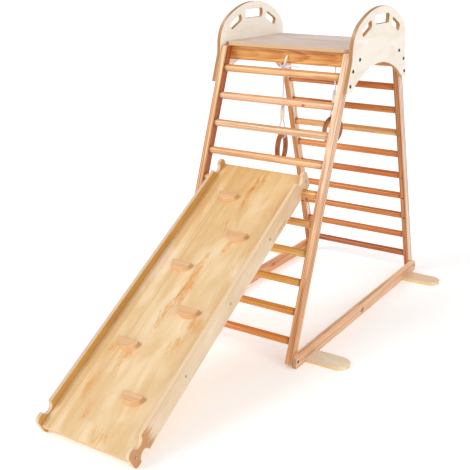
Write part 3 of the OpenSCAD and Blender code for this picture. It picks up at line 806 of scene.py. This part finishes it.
def hang_rope(end):
    rope_line, rope_length = smooth_line(in_part(ROPE_ROUTE, end, "twist"), 0.0011)
    rope = paint(swept(f"{end}_rope_braid", rope_line, ROPE_D / 2), rope_shaded_grey)
    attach(rope, f"{end}_swing")
    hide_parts(f"{end}_rope")
    loop_line, loop_length = smooth_line(in_part(LOOP_ROUTE, end, "lean"), 0.0011)
    loop = paint(swept(f"{end}_hanger_loop_braid", loop_line, ROPE_D / 2), rope_white)
    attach(loop, "tower")
    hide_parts(f"{end}_hanger_loop")
    # the hanger knot and its loose end
    about = Matrix.Rotation(math.pi if end == "rear" else 0, 3, "Z")
    centre = in_part([(0, ROPE_Y, KNOT_Z)], end, "hang")[0]
    knot_path, _ = smooth_line(knot_line(centre, (0.0085, 0.0085, 0.0085), about), 0.0011)
    knot = paint(swept(f"{end}_hanger_knot_braid", knot_path, ROPE_D / 2), rope_shaded_grey)
    tail_points = in_part(TAIL_ROUTE, end, "hang")
    tail_points = [centre + (tail_points[0] - centre) * 0.4] + tail_points
    tail_path, _ = smooth_line(tail_points, 0.0011)
    tail = paint(swept(f"{end}_hanger_knot_tail", tail_path, ROPE_D / 2), rope_white)
    for piece in (knot, tail):
        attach(piece, f"{end}_hanger")
        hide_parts(f"{end}_hanger_knot")
    # the stopper knot and the two-hole adjuster plate
    stop_turn = about @ Matrix.Rotation(0.7, 3, "Z")
    stop_centre = in_part([(0, ROPE_Y, STOPPER_Z)], end, "hang")[0]
    stop_path, _ = smooth_line(knot_line(stop_centre, (0.0072, 0.0068, 0.0075), stop_turn), 0.0011)
    stopper = paint(swept(f"{end}_stopper_knot_braid", stop_path, ROPE_D / 2 * 0.95),
                    rope_shaded_grey)
    plate = adjuster_plate(end, in_part([(0, ROPE_Y, ADJUSTER_Z)], end, "hang")[0])
    for piece in (stopper, plate):
        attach(piece, f"{end}_swing")
        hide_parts(f"{end}_rope_adjuster")


def adjuster_plate(end, centre):
    """Two-hole line adjuster: a slim block with round sides that both strands run through."""
    bm = bmesh.new()
    half = Vector((0.0105, 0.006, 0.0195))
    bmesh.ops.create_cube(bm, size=1.0)
    for v in bm.verts:
        v.co = Vector([c * 2 * h for c, h in zip(v.co, half)])
    upright = [e for e in bm.edges if abs((e.verts[0].co - e.verts[1].co).z) > 0.01]
    bmesh.ops.bevel(bm, geom=upright, offset=0.0054, segments=6, profile=0.5, affect="EDGES")
    rims = [e for e in bm.edges if e.is_manifold and e.calc_face_angle(0) > 1.0]
    bmesh.ops.bevel(bm, geom=rims, offset=0.0018, segments=3, profile=0.5, affect="EDGES")
    for f in bm.faces:
        f.smooth = True
    mesh = bpy.data.meshes.new(f"{end}_adjuster_plate")
    bm.to_mesh(mesh)
    bm.free()
    plate = bpy.data.objects.new(mesh.name, mesh)
    plate.matrix_world = Matrix.Translation(centre) @ \
        Matrix.Rotation(math.radians(TWIST[end]), 4, "Z")
    bpy.context.scene.collection.objects.link(plate)
    weighted = plate.modifiers.new("even", "WEIGHTED_NORMAL")
    weighted.keep_sharp = True
    s = Shader(f"{end}_adjuster_plastic")
    speck = s.noise(s.local, (0.9, 0.9, 0.9), 3.0, 3, 0.6)
    mat = s.finish(s.shade(linear((252, 247, 236)), s.add(0.9, s.mul(speck, 0.2))),
                   s.add(0.42, s.mul(speck, 0.2)), speck, 0.1, 0.3)
    return paint(plate, mat)


for which in ("front", "rear"):
    hang_rope(which)

# ---------------------------------------------------------------- ladders
POST_TONES = {
    "left_front": (236, 190, 142), "right_front": (234, 198, 170),
    "left_rear": (240, 205, 176), "right_rear": (238, 212, 198),
}
# per-rung tones; the rear rungs are darker and more saturated as painted shade, and several lower
# front rungs are lifted as painted light against the slide's shadow
RUNG_TONES = {
    "front": [(228, 178, 124), (232, 188, 150), (236, 198, 160), (232, 182, 132), (240, 184, 118),
              (252, 194, 120), (255, 200, 122), (250, 184, 98), (240, 170, 86), (224, 146, 68)],
    "rear": [(212, 138, 66), (208, 128, 52), (218, 146, 70), (238, 182, 118), (218, 140, 62),
             (206, 119, 38), (206, 125, 44), (200, 124, 42), (198, 118, 34), (172, 92, 2)],
}
RUNG_KNOTS = {"front_rung_2": ((135, 3, 5),), "rear_rung_5": ((-60, 4, 5),)}
SHADED_FACE_TINT = (0.68, 0.39, 0.155)                  # painted shade: the posts' inward faces darkened and saturated as they look in shadow
for end, turn in (("front", -1), ("rear", 1)):
    along = Vector((0, -turn * math.sin(LEAN), math.cos(LEAN)))
    for i, side in enumerate(("left", "right")):
        node = f"{side}_{end}_post"
        wide = along.cross(X) if turn < 0 else X.cross(along)
        tints, fade = [], None
        if turn > 0:
            # painted shade on the rear posts' faces toward the tower's inside
            tints.append(((0, 1, 0), SHADED_FACE_TINT))
            if side == "left":
                # painted light: the left rear post's inward face lightened
                tints.append(((0, 0, 1), (1.25, 1.40, 1.55)))
        elif side == "left":
            # painted shade on the left front post's inward face
            tints.append(((0, 0, -1), SHADED_FACE_TINT))
        if node == "right_front_post":
            fade = (300, -350, (1.0, 0.84, 0.60))
        mat = pine(f"pine_{node}", middle(node), (along, wide, along.cross(wide)),
                   11 + 7 * i + (3 if turn > 0 else 0), POST_TONES[f"{side}_{end}"], 7.0,
                   tints=tints, fade=fade, spread=1.4, stripes=0.9)
        paint(refined(node, 0.0028), mat)
    for k in range(1, 11):
        node = f"{end}_rung_{k}"
        rnd = random.Random(100 * (turn + 2) + k)
        roll = rnd.uniform(0, 2 * math.pi)
        wide = Vector((0, math.cos(roll), math.sin(roll)))
        if node in RUNG_KNOTS:
            wide = Vector((0, -0.5, 0.87))
        up = Vector((0, wide.z, X.cross(wide).z))
        # painted shade: each rung's upper side darkened, and on the front ladder its underside
        # too, for how the light falls
        rung_shade_tints = [(up, (0.86, 0.74, 0.57) if turn < 0 and k < 5 else (0.95, 0.86, 0.72))]
        if turn < 0:
            rung_shade_tints.append((-up, (0.97, 0.92, 0.82) if k < 5 else (0.93, 0.76, 0.50)))
        mat = pine(f"pine_{node}", middle(node), (X, wide, X.cross(wide)),
                   60 + k + (20 if turn > 0 else 0), RUNG_TONES[end][k - 1],
                   rnd.uniform(4.6, 7.5), knots=RUNG_KNOTS.get(node, ()), worn_and_lit=False, spread=1.2,
                   streaks=0.7, stripes=0.45, gloss=0.2, smooth=0.32, tints=rung_shade_tints, joint_shade_at=272)
        repaint(node, mat)
    node = f"{end}_apron"
    mat = pine(f"pine_{node}", middle(node), (X, Z, X.cross(Z)), 41 if turn < 0 else 47,
               (255, 175, 100), 9.0, spread=1.6, streaks=1.0, stripes=0.4, cathedral=0.075)
    paint(refined(node, 0.0022), mat)

# ---------------------------------------------------------------- base
for i, side in enumerate(("left", "right")):
    node = f"{side}_base_rail"
    mat = pine(f"pine_{node}", middle(node), (Y, Z, Y.cross(Z)), 83 + 5 * i,
               (236, 192, 154) if i else (228, 172, 124),
               7.5, knots=((-20, -8, 11),) if i else ((250, 10, 9), (120, -6, 6)), spread=1.2,
               # painted light: the rail's top face lightened
               tints=[((0, 1, 0), (1.12, 1.14, 1.16))], stripes=0.4 if i else 0.8)
    paint(refined(node, 0.0032), mat)
    for j, end in enumerate(("front", "rear")):
        node = f"{side}_{end}_foot"
        mat = veneer(f"ply_{node}", middle(node), FLAT, 31 + 3 * i + 5 * j,
                     # painted light: the front feet paler than the rear ones, offsetting the
                     # shadow that falls on them
                     (255, 246, 222) if j == 0 else (240, 212, 176), (238, 210, 172),
                     (250, 230, 190), (222, 182, 130), 18,
                     ply=1.8, line_gain=0.6, bands=16, cloud=0.4, wild=0.2)
        paint(board(node, middle(node), FLAT, 0.002), mat)

# ---------------------------------------------------------------- platform and panels
paint(board("platform_board", middle("platform_board"), FLAT, 0.0012), veneer(
    "ply_platform", middle("platform_board"), FLAT, 5, (231, 211, 199), (206, 178, 162),
    (222, 189, 150), (198, 157, 113), 15, line_gain=0.5, figure=(0.001, 0.014), bands=18,
    cloud=0.5, straight=(-270, 60), wild=0.12))
for i, side in enumerate(("left", "right")):
    node = f"{side}_side_panel"
    # painted light: the left panel gets a paler tone than the right, offsetting the shade on its
    # inner face
    base = ((245, 235, 221), (232, 215, 194)) if i else ((255, 249, 236), (252, 236, 214))
    paint(board(node, middle(node), SIDEWAYS, 0.0028, high=i == 1), veneer(
        f"ply_{node}", middle(node), SIDEWAYS, 71 + 6 * i, base[0], base[1],
        (204, 154, 94), (132, 86, 44), 18, line_gain=0.5, figure=(0.0013, 0.009), bands=14,
        flame=(236, 206, 168), cloud=0.5, wild=0.4))

# ---------------------------------------------------------------- slide board
SLIDE_AXES = (SLIDE_UP, -X, SLIDE_OUT)      # y of the pattern runs from right to left
STONE_X, STONE_PITCH = 0.074, 0.195
SLIDE_FLAMES = (
    (20, -5, 150, 26, 1.0), (105, 2, 120, 21, 0.9), (-120, 20, 110, 20, 0.8),
    (560, -8, 75, 17, 0.9), (610, -30, 70, 15, 0.8), (470, -10, 60, 17, 0.75),
    (-130, -130, 45, 44, 0.8), (-230, -95, 70, 30, 0.6), (-330, 60, 110, 26, 0.7),
    (330, 10, 90, 16, 0.6), (-480, 110, 90, 26, 0.75), (-560, 60, 70, 20, 0.7),
    (-330, 130, 60, 30, 0.7), (-640, -40, 40, 64, 0.6), (250, -60, 80, 17, 0.6),
)
paint(board("slide_board", SLIDE_MIDDLE, SLIDE_AXES, 0.0008), veneer(
    "ply_slide_board", SLIDE_MIDDLE, SLIDE_AXES, 9, (238, 210, 167), (219, 178, 120),
    (240, 206, 160), (212, 164, 108), 18, flames=SLIDE_FLAMES, line_gain=0.4,
    figure=(0.0013, 0.007), bands=9, ply=1.8, cloud=0.6, straight=(60, 190), wild=0.3,
    flame=(214, 144, 48), solid=0.9, fade=(0, 650, (0.93, 0.83, 0.66))))
for i, side in enumerate(("left", "right")):
    node = f"{side}_slide_rail"
    inner = 1 if side == "left" else -1
    flames = ((-650, 0, 75, 200, 2.4), (400, 20, 80, 10, 0.6)) if i else ()
    edges = ((242, 216, 182), (222, 186, 144)) if i else ((228, 203, 176), (208, 173, 138))
    rail_axes = (SLIDE_UP, SLIDE_UP.cross(X * inner) * -1, X * inner)
    paint(board(node, middle(node), rail_axes, 0.0016, high=False), veneer(
        f"ply_{node}", middle(node), rail_axes, 17 + 4 * i,
        (232, 206, 172), (214, 180, 138), *edges, 15, flames=flames,
        line_gain=0.5, figure=(0.0011, 0.012), bands=14, flame=(190, 125, 58),
        # painted shade: the left rail's inner face darkened to a golden brown
        tints=[((0, 0, 1), (0.78, 0.545, 0.19))] if side == "left" else (), wild=0.2,
        fade=(150, 420, (0.92, 0.86, 0.76)) if side == "right" else None))
for k in range(1, 7):
    node = f"climbing_stone_{k}"
    seat = SLIDE_MIDDLE + SLIDE_OUT * 0.009 + X * STONE_X * (1 if k % 2 == 0 else -1) \
        + SLIDE_UP * (3.5 - k) * STONE_PITCH
    mat = pine(f"wood_{node}", middle(node), (X, SLIDE_UP, SLIDE_OUT), 200 + k, (222, 180, 134),
               7.0, spread=0.6, streaks=0.2, worn_and_lit=False,
               # painted light: the stone's down-slope rounded side and its right end lightened
               tints=[((0, -1, 0), (1.12, 1.15, 1.17)), ((1, 0, 0), (1.06, 1.10, 1.12))])
    paint(half_moon(node, seat), mat)

# ---------------------------------------------------------------- rings and fasteners
for i, end in enumerate(("front", "rear")):
    repaint(f"{end}_ring", ring_wood(f"wood_{end}_ring", middle(f"{end}_ring"), 3 + i))
black = metal("black_zinc", (62, 58, 54), 0.38, 0.85, 2)
zinc = metal("zinc_plate", (196, 198, 200), 0.30, 1.0, 5)
dark = metal("phosphate", (58, 52, 46), 0.45, 0.8, 7)
for node, mat in (("panel_bolts", black), ("base_rail_bolts", black), ("rung_screws", dark),
                  ("slide_screws", zinc), ("frame_screws", zinc)):
    repaint(node, mat)


# ---------------------------------------------------------------- stage and light
def make_stage():
    mesh = bpy.data.meshes.new("floor")
    mesh.from_pydata([(-60, -60, 0), (60, -60, 0), (60, 60, 0), (-60, 60, 0)], [], [(0, 1, 2, 3)])
    floor = bpy.data.objects.new("floor", mesh)
    floor.location.z = -0.0004
    bpy.context.scene.collection.objects.link(floor)
    s = Shader("floor_paint")
    s.finish(linear((249, 249, 249)), 0.8, Emission_Color=(1, 1, 1, 1), Emission_Strength=0.28)
    mesh.materials.append(s.mat)


def sun(name, toward, strength, spread):
    """A distant soft light; toward is the direction from the object to it."""
    data = bpy.data.lights.new(name, "SUN")
    data.energy = strength
    data.angle = math.radians(spread)
    light = bpy.data.objects.new(name, data)
    light.location = Vector(toward) * 4
    light.rotation_euler = Vector(toward).to_track_quat("Z", "Y").to_euler()
    bpy.context.scene.collection.objects.link(light)


make_stage()
sun("key", (-0.45, -0.70, 0.58), 1.30, 28)
sun("side", (0.85, -0.35, 0.45), 0.75, 50)
world = bpy.data.worlds.new("studio")
world.use_nodes = True
sky = world.node_tree.nodes["Background"]
sky.inputs[0].default_value = (1, 1, 1, 1)
seen = world.node_tree.nodes.new("ShaderNodeMapRange")      # plain white where it is seen
seen.inputs["To Min"].default_value, seen.inputs["To Max"].default_value = 0.60, 1.0
path = world.node_tree.nodes.new("ShaderNodeLightPath")
world.node_tree.links.new(path.outputs["Is Camera Ray"], seen.inputs["Value"])
world.node_tree.links.new(seen.outputs[0], sky.inputs[1])
bpy.context.scene.world = world
bpy.context.scene.view_settings.view_transform = "Standard"
